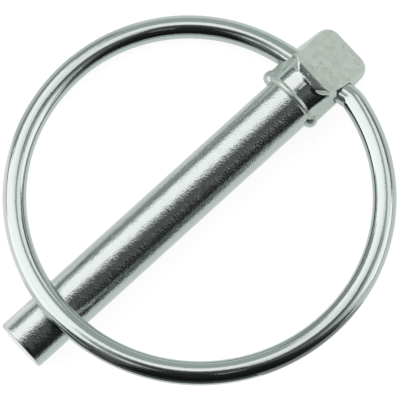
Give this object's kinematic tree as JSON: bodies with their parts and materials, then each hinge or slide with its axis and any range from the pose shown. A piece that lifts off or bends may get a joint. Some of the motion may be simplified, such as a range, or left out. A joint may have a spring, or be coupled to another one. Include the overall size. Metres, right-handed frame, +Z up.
{
  "type": "lynch pin",
  "caption": "Forged lynch pin: round shank, collar ridge with side lugs, slanted head, and a spring-wire ring that swings over the shank to lock it.",
  "frame": {"origin": "on the shank axis at the underside of the head", "axes": "+X along the shank from the head to the tail end, +Z up, with the pin lying on its back, the ring closed over the front of the shank and the ring's left side (-Y) on the floor"},
  "size_m": [0.0486, 0.0417, 0.0107],
  "materials": {
    "pin_plate": "bright zinc plate on a forged surface, faintly pitted",
    "wire_plate": "bright zinc plate on smooth drawn wire"
  },
  "bodies": {
    "pin": {"pin": "pin_plate"},
    "ring": {"ring": "wire_plate"}
  },
  "joints": [
    {"name": "ring_swing", "type": "hinge", "parent": "pin", "child": "ring", "pos_m": [-0.00472, 0, 0], "axis": [0.2215, -0.9642, -0.1455], "range_deg": [0, 346.7]}
  ]
}
